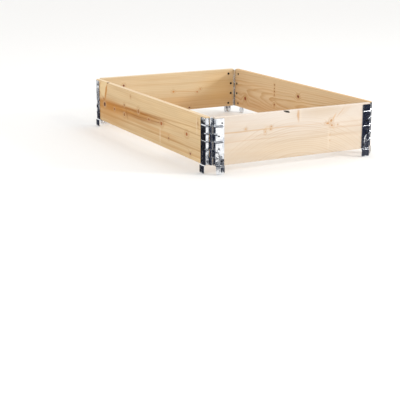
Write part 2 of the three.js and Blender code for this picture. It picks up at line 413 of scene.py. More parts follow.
@dataclass(frozen=True)
class SpruceFinish:
    """Planed and weathered spruce.

    Pale earlywood between narrow brown latewood lines, reddish knots that the grain flows round,
    fibres along the board and a dull, slightly waxy face. The rings stand 8 to 9 mm apart, where
    real ones stand 2 to 5 mm, so that they show. Marks are full at the depth `marked` and gone at
    the depth `unmarked`.
    """

    name: str
    early: str
    late: str
    heart: str
    knot: str
    ring_gap: float
    pith_depth: float
    pith_height: float
    pith_tilt: float
    pith_rise: float
    ring_strength: float
    seed: float
    knots: tuple[Knot, ...]
    streaks: tuple[Streak, ...] = ()
    stains_and_painted_light: tuple[StainOrPaintedLight, ...] = ()
    # Patches of painted shade in the gouges' hollows, laid over the wood after the top arris.
    gouge_shades: tuple[StainOrPaintedLight, ...] = ()
    bow: float = 0.0
    bow_at: float = 0.0
    sway: float = 26.0
    swirl: float = 15.0
    # Colour of the painted light along the top arris, and of the ring round each knot.
    edge: str = "#F0E2CB"
    marked: float = 6.0
    unmarked: float = 15.0
    # Heights at which the painted light on the top arris begins and is full.
    arris_light_start: float = 193.6
    arris_light_full: float = 195.4
    early_roughness: float = 0.66
    late_roughness: float = 0.52
    relief_depth: float = 0.12

    def build(self, plan: SidePlan, lift: float) -> bpy.types.Material:
        """Makes the material in the frame of one side.

        Args:
            plan: The side that wears it.
            lift: Height of the boards' bottom edge in millimetres.

        Returns:
            The material.
        """
        tree = Tree(bpy.data.materials.new(self.name))
        frame = {
            "Vector": tree.add("TexCoord", {}, "Object"),
            "Location": Vector((*plan.outer, lift)) * MM,
            "Rotation": (0, 0, math.radians(plan.turn)),
            "Scale": (MM, MM, MM),
        }
        place = tree.add("Mapping", frame, vector_type="TEXTURE")
        axes = tree.add("SeparateXYZ", {0: place}).node.outputs
        # Bundles of fibres about 4 mm across, coarser than real ones so that they show.
        fibres = self.drawn_out(tree, place, (0, self.seed, 0), 0.012, 0.2, 5.0, 0.7)
        point = WoodPoint(place, axes[0], axes[1], axes[2], fibres)
        rings = self.ring_lines(tree, point)
        colour = self.wood_colour(tree, point, rings)
        depths = {0: point.depth, 1: self.marked, 2: self.unmarked, 3: 1.0, 4: 0.0}
        gate = tree.add("MapRange", depths)
        # Stains, and patches of painted shade and painted light, on the marked face only.
        for stain in self.stains_and_painted_light:
            colour = self.stain_or_painted_light_colour(tree, colour, point, gate, stain)
        for tone in sorted({knot.colour or self.knot for knot in self.knots}):
            alike = [knot for knot in self.knots if (knot.colour or self.knot) == tone]
            colour = self.knot_colour(tree, colour, self.knot_reach(tree, place, alike), tone)
        # Painted light on the top arris: near the top the wood takes up to 0.35 of the edge colour, for the
        # light that falls there, ragged by the fibres.
        level = tree.add("Math", {0: fibres, 1: 1.4, 2: point.height}, operation="MULTIPLY_ADD")
        wear = {0: level, 1: self.arris_light_start, 2: self.arris_light_full, 4: 0.35}
        arris_light = tree.add("MapRange", wear, interpolation_type="SMOOTHSTEP")
        colours = {"Factor": arris_light, 6: colour, 7: linear(self.edge)}
        colour = tree.add("Mix", colours, 2, data_type="RGBA")
        # Painted shade in the gouges' hollows, over everything else.
        for gouge_shade in self.gouge_shades:
            colour = self.stain_or_painted_light_colour(tree, colour, point, gate, gouge_shade)
        surface = {
            "Base Color": colour,
            "Roughness": tree.add(
                "MapRange", {0: rings, 3: self.early_roughness, 4: self.late_roughness}
            ),
            "IOR": 1.5,
            "Specular IOR Level": 0.35,
        }
        relief = tree.add("Math", {0: rings, 1: 0.6, 2: fibres}, operation="MULTIPLY_ADD")
        return tree.wear(surface, relief, {"Strength": 0.35, "Distance": self.relief_depth * MM})

    @staticmethod
    def drawn_out(
        tree: Tree,
        place: Socket,
        start: tuple[float, float, float],
        squeeze: float,
        scale: float,
        detail: float,
        roughness: float = 0.5,
    ) -> Socket:
        """Draws noise that is stretched along the board.

        Args:
            tree: The material's nodes.
            place: The point in the side's frame in millimetres.
            start: Where the noise is read from.
            squeeze: The noise's scale along the board, as a share of the other two.
            scale: The noise's scale for each millimetre.
            detail: Its levels of detail.
            roughness: The weight of the finer levels.

        Returns:
            A socket from 0 to 1.
        """
        stretch = {"Vector": place, "Location": start, "Scale": (squeeze, 1, 1)}
        grain = {"Scale": scale, "Detail": detail, "Roughness": roughness}
        return tree.add("TexNoise", {"Vector": tree.add("Mapping", stretch), **grain})

    @staticmethod
    def knot_reach(tree: Tree, place: Socket, knots: list[Knot] | tuple[Knot, ...]) -> Socket:
        """Measures how far a point is from the nearest of several knots.

        Args:
            tree: The material's nodes.
            place: The point in the side's frame in millimetres.
            knots: The knots.

        Returns:
            A socket that is 0 in a knot's middle and 1 on its edge.
        """
        wander = 7.0
        ragged = {"Vector": place, "Scale": 0.09, "Detail": 2.0}
        shift = tree.add(
            "VectorMath",
            {0: tree.add("TexNoise", ragged, "Color"), 1: (wander, 0.0, wander), 2: place},
            operation="MULTIPLY_ADD",
        )
        nearest = None
        for knot in knots:
            middle = (knot.along + wander / 2, 0.0, knot.height + wander / 2)
            shares = (1 / knot.half_length, 0.0, 1 / knot.half_height)
            offset = tree.add("VectorMath", {0: shift, 1: middle}, operation="SUBTRACT")
            scaled = tree.add("VectorMath", {0: offset, 1: shares}, operation="MULTIPLY")
            reach = tree.add("VectorMath", {0: scaled}, "Value", operation="LENGTH")
            if nearest:
                reach = tree.add("Math", {0: nearest, 1: reach}, operation="MINIMUM")
            nearest = reach
        return nearest

    def ring_lines(self, tree: Tree, point: WoodPoint) -> Socket:
        """Cuts the trunk's growth rings with the board.

        Args:
            tree: The material's nodes.
            point: The point that is shaded.

        Returns:
            A socket that is 1 in the darkest latewood and 0 in earlywood.
        """
        sway = self.drawn_out(tree, point.place, (self.seed, 0, 0), 0.22, 0.011, 3.0, 0.55)
        from_pith = {}
        lines = (
            (point.depth, self.pith_tilt, self.pith_depth),
            (point.height, self.pith_rise, self.pith_height),
        )
        for axis, (socket, slope, start) in enumerate(lines):
            pith = tree.add("Math", {0: point.along, 1: slope, 2: start}, operation="MULTIPLY_ADD")
            from_pith[axis] = tree.add("Math", {0: socket, 1: pith}, operation="SUBTRACT")
        beside = tree.add("CombineXYZ", from_pith)
        radius = tree.add("VectorMath", {0: beside}, "Value", operation="LENGTH")
        swayed = tree.add("Math", {0: sway, 1: self.sway, 2: radius}, operation="MULTIPLY_ADD")
        from_bow = tree.add("Math", {0: point.along, 1: self.bow_at}, operation="SUBTRACT")
        square = tree.add("Math", {0: from_bow, 1: from_bow}, operation="MULTIPLY")
        bowed = tree.add("Math", {0: square, 1: self.bow, 2: swayed}, operation="MULTIPLY_ADD")
        knots = self.knot_reach(tree, point.place, self.knots)
        flow = {0: knots, 2: 5.5, 3: self.swirl, 4: 0.0}
        swell = tree.add("MapRange", flow, interpolation_type="SMOOTHSTEP")
        bent = tree.add("Math", {0: bowed, 1: swell}, operation="ADD")
        count = tree.add("Math", {0: bent, 1: 1 / self.ring_gap}, operation="MULTIPLY")
        share = tree.add("Math", {0: count}, operation="FRACT")
        year = tree.add("Math", {0: count}, operation="FLOOR")
        growth = tree.add("TexWhiteNoise", {"W": year}, noise_dimensions="1D")
        weight = tree.add("MapRange", {0: growth, 3: 0.25})
        dark = tree.add("ValToRGB", {0: share})
        stops = dark.node.color_ramp.elements
        stops[1].color = stops[0].color
        for position, value in ((0.45, 0.12), (0.78, 0.85), (0.9, 1.0)):
            stops.new(position).color = (value, value, value, 1.0)
        return tree.add("Math", {0: dark, 1: weight}, operation="MULTIPLY")

    def wood_colour(self, tree: Tree, point: WoodPoint, rings: Socket) -> Socket:
        """Mixes earlywood, latewood, heartwood and the fibres' light and dark.

        Args:
            tree: The material's nodes.
            point: The point that is shaded.
            rings: The growth rings.

        Returns:
            A colour socket.
        """
        late = linear(self.late)
        amount = tree.add("Math", {0: rings, 1: self.ring_strength}, operation="MULTIPLY")
        clear = {"Factor": amount, 6: linear(self.early), 7: late}
        colour = tree.add("Mix", clear, 2, data_type="RGBA")
        drift = self.drawn_out(tree, point.place, (0, 0, 0), 0.15, 0.02, 3.0)
        bands = self.drawn_out(tree, point.place, (0, 0, self.seed), 0.03, 0.075, 2.0)
        tint = tree.add("MapRange", {0: bands, 1: 0.5, 2: 0.75, 4: 0.4})
        colour = tree.add("Mix", {"Factor": tint, 6: colour, 7: late}, 2, data_type="RGBA")
        for streak in self.streaks:
            share = self.streak_share(tree, streak, point, drift)
            colours = {"Factor": share, 6: colour, 7: linear(streak.colour or self.heart)}
            colour = tree.add("Mix", colours, 2, data_type="RGBA")
        shade = tree.add("Math", {0: point.fibres, 1: 0.5, 2: drift}, operation="MULTIPLY_ADD")
        light = tree.add("MapRange", {0: shade, 1: 0.45, 2: 1.05, 3: 0.9, 4: 1.07})
        return tree.add("VectorMath", {0: colour, "Scale": light}, operation="SCALE")

    @staticmethod
    def streak_share(tree: Tree, streak: Streak, point: WoodPoint, drift: Socket) -> Socket:
        """Draws one streak, soft at its borders, brushed by the fibres and faded at its ends.

        Args:
            tree: The material's nodes.
            streak: The streak.
            point: The point that is shaded.
            drift: Slow noise that lets the streak wander.

        Returns:
            A socket from 0 outside to about the streak's strength inside.
        """
        wander = 14.0
        line = {0: point.along, 1: streak.rise, 2: streak.height - wander / 2}
        middle = tree.add("Math", line, operation="MULTIPLY_ADD")
        moved = tree.add("Math", {0: drift, 1: wander, 2: middle}, operation="MULTIPLY_ADD")
        above = tree.add("Math", {0: point.height, 1: moved}, operation="SUBTRACT")
        apart = tree.add("Math", {0: above}, operation="ABSOLUTE")
        share = tree.add("MapRange", {0: point.fibres, 1: 0.36, 2: 0.64, 3: 0.45, 4: 1.3})
        for socket, low, high, first, last in (
            (apart, streak.half * 0.3, streak.half * 1.5, streak.strength, 0.0),
            (point.along, streak.start - streak.fade, streak.start, 0.0, 1.0),
            (point.along, streak.end, streak.end + streak.fade, 1.0, 0.0),
        ):
            limits = {0: socket, 1: low, 2: high, 3: first, 4: last}
            step = tree.add("MapRange", limits, interpolation_type="SMOOTHSTEP")
            share = tree.add("Math", {0: share, 1: step}, operation="MULTIPLY")
        return share

    @staticmethod
    def stain_or_painted_light_colour(tree: Tree, colour: Socket, point: WoodPoint, gate: Socket, stain: StainOrPaintedLight) -> Socket:
        """Lays one soft or slanting mark over the wood: a stain, a painted shade or a painted light.

        Args:
            tree: The material's nodes.
            colour: The wood's colour.
            point: The point that is shaded.
            gate: 1 on the marked face and 0 on the other.
            stain: The mark.

        Returns:
            A colour socket.
        """
        wander = (10.0, 0.0, 4.0)
        middle = (stain.along + wander[0] / 2, 0.0, stain.height + wander[2] / 2)
        ragged = {"Vector": point.place, "Scale": 0.05, "Detail": 3.0}
        noisy = tree.add("TexNoise", ragged, "Color")
        away = tree.add("VectorMath", {0: point.place, 1: middle}, operation="SUBTRACT")
        offset = tree.add("VectorMath", {0: noisy, 1: wander, 2: away}, operation="MULTIPLY_ADD")
        shares = (
            (1 / stain.half_length, 0.0, -stain.lean / stain.half_length),
            (0.0, 0.0, 1 / stain.half_height),
        )
        spans = {
            axis: tree.add("VectorMath", {0: offset, 1: share}, "Value", operation="DOT_PRODUCT")
            for axis, share in enumerate(shares)
        }
        reach = tree.add("VectorMath", {0: tree.add("CombineXYZ", spans)}, "Value", operation="LENGTH")
        rim = {1: 1.0 - stain.softness, 2: 1.0 + stain.softness * 0.4, 3: stain.strength, 4: 0.0}
        amount = tree.add("MapRange", {0: reach, **rim}, interpolation_type="SMOOTHSTEP")
        share = tree.add("Math", {0: amount, 1: gate}, operation="MULTIPLY")
        return tree.add("Mix", {"Factor": share, 6: colour, 7: linear(stain.colour)}, 2, data_type="RGBA")

    def knot_colour(self, tree: Tree, colour: Socket, reach: Socket, tone: str) -> Socket:
        """Adds knots of one colour, each in a pale ring with a warm stain round it.

        Args:
            tree: The material's nodes.
            colour: The wood's colour.
            reach: Distance from the nearest of these knots.
            tone: The knots' colour.

        Returns:
            A colour socket.
        """
        layers = ((1.8, 3.4, 0.4, self.late), (1.1, 2.0, 0.2, self.edge), (0.75, 1.25, 0.95, tone))
        for start, end, strength, shade in layers:
            limits = {0: reach, 1: start, 2: end, 3: strength, 4: 0.0}
            share = tree.add("MapRange", limits, interpolation_type="SMOOTHSTEP")
            colours = {"Factor": share, 6: colour, 7: linear(shade)}
            colour = tree.add("Mix", colours, 2, data_type="RGBA")
        return colour


@dataclass(frozen=True)
class GalvanisedFinish:
    """Hot-dip galvanised steel.

    Bright zinc in spangles of about 9 mm that each shine a little differently, gently wavy from
    pressing, with dull scuffs.
    """

    name: str = "galvanised sheet steel"
    zinc: str = "#F3F5F8"
    dull: str = "#B4BAC3"
    spangle: float = 9.0
    bright_roughness: float = 0.1
    dull_roughness: float = 0.32
    wave_depth: float = 1.7

    def build(self) -> bpy.types.Material:
        """Makes the material.

        Returns:
            The material.
        """
        tree = Tree(bpy.data.materials.new(self.name))
        tied = tree.add("TexCoord", {}, "Object")
        crystals = tree.add("TexVoronoi", {"Vector": tied, "Scale": 1 / (self.spangle * MM)}, "Color")
        tones = tree.add("SeparateXYZ", {0: crystals}).node.outputs
        scuffs = tree.add("TexNoise", {"Vector": tied, "Scale": 55.0, "Detail": 5.0, "Roughness": 0.65})
        worn = tree.add("MapRange", {0: scuffs, 1: 0.48, 2: 0.68, 4: 0.7})
        grey = tree.add("Math", {0: tones[0], 1: 0.3, 2: worn}, operation="MULTIPLY_ADD")
        colours = {"Factor": grey, 6: linear(self.zinc), 7: linear(self.dull)}
        waves = tree.add("TexNoise", {"Vector": tied, "Scale": 45.0, "Detail": 2.0})
        uneven = tree.add("Math", {0: tones[1], 1: 0.05, 2: waves}, operation="MULTIPLY_ADD")
        surface = {
            "Base Color": tree.add("Mix", colours, 2, data_type="RGBA"),
            "Metallic": 1.0,
            "Roughness": tree.add("MapRange", {0: grey, 3: self.bright_roughness, 4: self.dull_roughness}),
        }
        return tree.wear(surface, uneven, {"Strength": 0.6, "Distance": self.wave_depth * MM})


@dataclass(frozen=True)
class RivetFinish:
    """Steel rivets under a black oxide, so dull and dark that they hardly mirror anything."""

    name: str = "black oxide on rivet steel"
    steel: str = "#14110F"
    oxide: str = "#060504"
    steel_roughness: float = 0.35
    oxide_roughness: float = 0.6

    def build(self) -> bpy.types.Material:
        """Makes the material.

        Returns:
            The material.
        """
        tree = Tree(bpy.data.materials.new(self.name))
        tied = tree.add("TexCoord", {}, "Object")
        blotches = tree.add("TexNoise", {"Vector": tied, "Scale": 320.0, "Detail": 4.0})
        amount = tree.add("MapRange", {0: blotches, 1: 0.4, 2: 0.65})
        colours = {"Factor": amount, 6: linear(self.steel), 7: linear(self.oxide)}
        surface = {
            "Base Color": tree.add("Mix", colours, 2, data_type="RGBA"),
            "Roughness": tree.add("MapRange", {0: amount, 3: self.steel_roughness, 4: self.oxide_roughness}),
            "IOR": 1.5,
            "Specular IOR Level": 0.25,
        }
        return tree.wear(surface, blotches, {"Strength": 0.3, "Distance": 0.2 * MM})


@dataclass
class HingeLeaf:
    """A pressed hinge leaf.

    Its frame has X away from the sharp corner along the board, Y inwards from the board's outer
    face and Z up from the board's bottom edge.
    """

    sizes: CollarSizes
    spacing: float = 1.3
    rib_half: float = 3.4
    rib_height: float = 1.5
    rib_end: float = 4.0
    gusset_reach: float = 6.0
    cap_rib_reach: float = 10.0
    bead_half: float = 5.2
    bead_height: float = 1.65
    bead_middle: float = 22.0
    bead_top: float = 36.0
    bead_end: float = 4.0
    sweep_start: float = 60.0
    sweep_steps: int = 10
    rows_in_knuckle: int = 24
    bend_steps: int = 5
    curl_steps: int = 22
    sheared_edge: float = 0.22

    @property
    def pitch(self) -> float:
        """Height of one knuckle with its gap."""
        return (self.sizes.leaf_top - self.sizes.leaf_bottom) / self.sizes.knuckles

    @property
    def row(self) -> float:
        """Height of one row of the grid."""
        return self.pitch / self.rows_in_knuckle

    @property
    def rows(self) -> int:
        """How many rows the grid has, with those of the tongue."""
        below = round((self.sizes.tongue_drop + self.sizes.leaf_bottom) / self.row)
        return self.rows_in_knuckle * self.sizes.knuckles + below

    @property
    def plate_start(self) -> float:
        """Where the flat plate begins after the bend."""
        return self.sizes.cap_face + self.sizes.bend_outer

    @property
    def bend_middle(self) -> float:
        """How far inwards the middle of the bend lies."""
        return self.sizes.leaf_face + self.sizes.bend_outer

    @property
    def bend_length(self) -> float:
        """Length of the bend along the sheet."""
        return self.sizes.bend_outer * QUARTER

    def model(self, first_knuckle: int) -> Piece:
        """Models one leaf.

        Args:
            first_knuckle: Number of its uppermost knuckle, counted from the top.

        Returns:
            The leaf in its own frame.
        """
        piece = self.plate()
        self.bend_and_cap(piece)
        self.curl_knuckles(piece, first_knuckle)
        bpy.ops.object.mode_set(mode="OBJECT")
        self.press(piece)
        self.face_outwards(piece)
        thickness = {"thickness": self.sizes.sheet * MM, "offset": -1.0, "use_even_offset": True}
        Bench.apply(piece, "sheet thickness", "SOLIDIFY", use_quality_normals=True, **thickness)
        limit = {"limit_method": "ANGLE", "angle_limit": math.radians(55)}
        Bench.apply(piece, "sheared edges", "BEVEL", width=self.sheared_edge * MM, segments=1, **limit)
        Bench.smooth(piece, 40)
        return piece

    def plate(self) -> Piece:
        """Lays out the plate with its tongue as an even grid.

        Returns:
            The grid in edit mode.
        """
        sizes = self.sizes
        width = sizes.leaf_edge - self.plate_start
        height = self.rows * self.row
        Bench.clear()
        bpy.ops.mesh.primitive_grid_add(
            x_subdivisions=round(width / self.spacing), y_subdivisions=self.rows, size=1, location=(0, 0, 0)
        )
        piece = bpy.context.object
        piece.name = "hinge_leaf_master"
        piece.scale = (width * MM, height * MM, 1)
        piece.rotation_euler = (QUARTER, 0, 0)
        middle = (self.plate_start + width / 2, sizes.leaf_face, sizes.leaf_top - height / 2)
        piece.location = Vector(middle) * MM
        Bench.settle(piece)
        bpy.ops.object.mode_set(mode="EDIT")
        return piece

    def bend_and_cap(self, piece: Piece) -> None:
        """Spins the bend out of the plate's edge and extrudes the cap.

        Args:
            piece: The grid in edit mode.
        """
        sizes = self.sizes
        start = self.plate_start
        floor = sizes.leaf_bottom - 0.1
        Bench.pick(piece, "VERT", lambda p: abs(p.x - start) < TOUCH and p.z > floor)
        centre = Vector((start, self.bend_middle, 0)) * MM
        bpy.ops.mesh.spin(steps=self.bend_steps, angle=QUARTER, center=centre, axis=(0, 0, 1))
        reach = sizes.cap_edge - sizes.leaf_face - sizes.bend_outer
        self.run_inwards(piece, lambda p: abs(p.x - sizes.cap_face) < TOUCH, reach)

    def run_inwards(self, piece: Piece, where: Callable[[Vector], bool], reach: float) -> None:
        """Extrudes an edge of the sheet inwards in even steps.

        Args:
            piece: The sheet in edit mode.
            where: Picks the points of the edge.
            reach: How far it goes in millimetres.
        """
        Bench.pick(piece, "VERT", where)
        steps = round(reach / self.spacing)
        for _ in range(steps):
            bpy.ops.mesh.extrude_region_move(TRANSFORM_OT_translate={"value": (0, reach / steps * MM, 0)})

    def curl_knuckles(self, piece: Piece, first_knuckle: int) -> None:
        """Extrudes each knuckle from the cap's edge, curls it round the pin and opens the gaps.

        Args:
            piece: The sheet in edit mode.
            first_knuckle: Number of the uppermost knuckle.
        """
        sizes = self.sizes
        edge = sizes.cap_edge
        centre = Vector((sizes.pin_inset, sizes.pin_inset, 0)) * MM
        curl = -math.radians(sizes.knuckle_curl)
        for index in range(first_knuckle, sizes.knuckles, 2):
            top = sizes.leaf_top - index * self.pitch + 0.1
            bottom = top - self.pitch - 0.2
            self.run_inwards(
                piece,
                lambda p: max(abs(p.y - edge), abs(p.x - sizes.cap_face)) < TOUCH and bottom < p.z < top,
                sizes.pin_inset - edge,
            )
            bpy.ops.mesh.spin(steps=self.curl_steps, angle=curl, center=centre, axis=(0, 0, 1))
        shape = bmesh.from_edit_mesh(piece.data)
        for point in shape.verts:
            place = point.co / MM
            row = (sizes.leaf_top - place.z) / self.pitch
            nearest = round(row)
            if place.y >= edge + 0.2 and abs(row - nearest) < 0.01 and 0 < nearest < sizes.knuckles:
                up = 1 if (nearest - first_knuckle) % 2 == 1 else -1
                point.co.z += up * sizes.knuckle_gap / 2 * MM
        bmesh.update_edit_mesh(piece.data)

    def press(self, piece: Piece) -> None:
        """Raises ribs and bead, rounds the corners and steps the tongue outwards.

        Args:
            piece: The sheet in object mode.
        """
        sizes = self.sizes
        lines = self.pressed_lines()
        for point in piece.data.vertices:
            place = point.co / MM
            reach, outward = self.unrolled(place)
            if outward is not None:
                lifts = [
                    height * self.swell(reach, place.z, path, half * 1.3) for half, height, path in lines
                ]
                place += outward * max(0.0, *lifts)
            place = self.cornered(place)
            drop = sizes.leaf_bottom - place.z
            place.y -= sizes.joggle * smoothstep(0.0, sizes.joggle_height, drop)
            point.co = place * MM

    def unrolled(self, place: Vector) -> tuple[float, Vector | None]:
        """Finds a point's distance from the bend's edge along the sheet.

        Args:
            place: The point in millimetres.

        Returns:
            The distance, negative on bend and cap, and the way out of the sheet there.
        """
        middle = self.bend_middle
        if place.x >= self.plate_start - 0.01 and place.y < middle - 0.01:
            return place.x - self.plate_start, Vector((0, -1, 0))
        if place.y < middle + 0.01:
            out = Vector((place.x - self.plate_start, place.y - middle, 0))
            return -self.sizes.bend_outer * math.atan2(-out.x, -out.y), out.normalized()
        if place.y < self.sizes.cap_edge + 0.01:
            return -self.bend_length - (place.y - middle), Vector((-1, 0, 0))
        return 0.0, None

    def pressed_lines(self) -> list[tuple[float, float, list[Vector]]]:
        """Lists the pressed forms on the unrolled sheet.

        Returns:
            Half width, height and middle line of each, in millimetres.
        """
        sizes = self.sizes
        lines = []
        inner = -self.bend_length - (self.cap_rib_reach - self.bend_middle)
        long_end = sizes.leaf_edge - self.rib_end - self.rib_half - self.plate_start
        outer_ends = {1: long_end, 3: long_end, 4: 0.0}
        for index in range(1, sizes.knuckles):
            level = sizes.leaf_top - index * self.pitch
            ends = [Vector((inner, level)), Vector((outer_ends.get(index, self.gusset_reach), level))]
            lines.append((self.rib_half, self.rib_height, ends))
        middle = sizes.cap_face + self.bead_middle - self.plate_start
        low = -sizes.tongue_drop + self.bead_end + self.bead_half
        path = [Vector((middle, low)), Vector((middle, self.bead_top))]
        for step in range(1, self.sweep_steps + 1):
            share = step / self.sweep_steps
            rest = 1 - share
            across = middle * (rest**2 + 2 * share * rest)
            up = self.bead_top * rest**2 + self.sweep_start * (2 * share * rest + share**2)
            path.append(Vector((across, up)))
        lines.append((self.bead_half, self.bead_height, path))
        return lines

    @staticmethod
    def swell(reach: float, level: float, path: list[Vector], half: float) -> float:
        """Gives a pressed form's share of its full height at a point.

        Args:
            reach: The point's distance along the unrolled sheet.
            level: Its height.
            path: The form's middle line.
            half: Half of the form's width.

        Returns:
            A share from 0 to 1.
        """
        nearest = half
        for start, end in zip(path, path[1:]):
            run = end - start
            share = ((reach - start.x) * run.x + (level - start.y) * run.y) / run.dot(run)
            share = min(1.0, max(0.0, share))
            gap = math.hypot(reach - start.x - run.x * share, level - start.y - run.y * share)
            nearest = min(nearest, gap)
        return 0.5 * (1 + math.cos(math.pi * nearest / half)) ** 0.8 * 2**0.2

    def cornered(self, place: Vector) -> Vector:
        """Fits the grid to the tongue and rounds the plate's upper and the tongue's lower corners.

        Args:
            place: A point of the sheet in millimetres.

        Returns:
            Its new place.
        """
        sizes = self.sizes
        moved = place.copy()
        bottom = sizes.leaf_top - self.row * self.rows
        if moved.z < sizes.leaf_bottom:
            share = (sizes.leaf_bottom - moved.z) / (sizes.leaf_bottom - bottom)
            moved.z = sizes.leaf_bottom - share * (sizes.leaf_bottom + sizes.tongue_drop)
        if moved.y > 0:
            return moved
        for x, z, in_x, in_z, radius in (
            (sizes.leaf_edge, sizes.leaf_top, -1, -1, sizes.leaf_corner),
            (sizes.leaf_edge, -sizes.tongue_drop, -1, 1, sizes.tongue_corner),
            (self.plate_start, -sizes.tongue_drop, 1, 1, sizes.tongue_corner),
        ):
            u = (moved.x - (x + in_x * radius)) * -in_x
            w = (moved.z - (z + in_z * radius)) * -in_z
            if u > 0 and w > 0:
                scale = max(u, w) / math.hypot(u, w)
                moved.x += -in_x * u * (scale - 1)
                moved.z += -in_z * w * (scale - 1)
        return moved

    @staticmethod
    def face_outwards(piece: Piece) -> None:
        """Turns all faces the same way, out of the plate's visible side.

        Args:
            piece: The open sheet in object mode.
        """
        Bench.take(piece)
        bpy.ops.object.mode_set(mode="EDIT")
        bpy.ops.mesh.select_all(action="SELECT")
        bpy.ops.mesh.remove_doubles(threshold=0.02 * MM)
        bpy.ops.mesh.normals_make_consistent(inside=False)
        bpy.ops.object.mode_set(mode="OBJECT")
        plate = [face for face in piece.data.polygons if face.center.z > 0.1 and face.center.x > 0.05]
        if sum(face.normal.y for face in plate) > 0:
            piece.data.flip_normals()


@dataclass
class Fastenings:
    """Rivets and hinge pins."""

    sizes: CollarSizes
    rivet_radius: float = 2.5
    rivet_outer: float = 3.6
    rivet_outer_height: float = 1.1
    rivet_inner: float = 5.9
    rivet_inner_height: float = 1.3
    rivet_near: float = 17.0
    rivet_far: float = 31.0
    rivet_pitch: float = 51.5
    rivet_drop: float = 2.0
    pin_head: float = 1.3
    seat: float = 0.3

    def rivet(self) -> Piece:
        """Turns a rivet and lays it along Y.

        Returns:
            The rivet, with its outer head towards -Y.
        """
        under = self.sizes.leaf_face - self.seat
        over = self.sizes.board_thickness + self.seat
        outer = ((0.0, 1.0), (0.35, 0.97), (0.68, 0.78), (0.93, 0.4), (1.0, 0.12), (1.0, 0.0))
        inner = ((1.0, 0.0), (1.0, 0.2), (0.94, 0.5), (0.72, 0.86), (0.4, 1.0), (0.24, 0.7), (0.0, 0.62))
        profile = [(self.rivet_outer * r, under - self.rivet_outer_height * h) for r, h in outer]
        profile += [(self.rivet_radius, under), (self.rivet_radius, over)]
        profile += [(self.rivet_inner * r, over + self.rivet_inner_height * h) for r, h in inner]
        piece = Bench.turned("rivet_master", profile, 24)
        piece.rotation_euler = (-QUARTER, 0, 0)
        Bench.settle(piece)
        Bench.smooth(piece, 50)
        return piece

    def pin(self) -> Piece:
        """Turns a hinge pin with a peened head at each end.

        Returns:
            The pin, upright.
        """
        radius = self.sizes.pin_radius
        head = radius + self.pin_head
        low = self.sizes.leaf_bottom - self.seat
        high = self.sizes.leaf_top + self.seat
        lower = ((0.0, 1.1), (0.7, 1.1), (0.95, 0.75), (1.0, 0.4), (1.0, 0.0))
        upper = ((1.0, 0.0), (1.0, 0.4), (0.95, 0.75), (0.7, 1.05), (0.0, 1.1))
        profile = [(head * share, low - drop) for share, drop in lower]
        profile += [(radius, low), (radius, high)]
        profile += [(head * share, high + rise) for share, rise in upper]
        piece = Bench.turned("pin_master", profile, 32)
        Bench.smooth(piece, 50)
        return piece

    def rivet_places(self) -> list[tuple[float, float]]:
        """Lists the rivets of a leaf.

        Returns:
            Distance from the sharp corner and height above the board's bottom edge.
        """
        sizes = self.sizes
        middle = (sizes.leaf_bottom + sizes.leaf_top) / 2 - self.rivet_drop
        near, far = self.rivet_near, self.rivet_far
        rows = ((1.5, far), (0.5, near), (-0.5, near), (-1.5, far))
        return [(sizes.cap_face + reach, middle + row * self.rivet_pitch) for row, reach in rows]


@dataclass(frozen=True)
class Gouge:
    """Wood that is missing from a board's top outer edge, in millimetres."""

    middle: float
    half_length: float
    reach: float
    depth: float


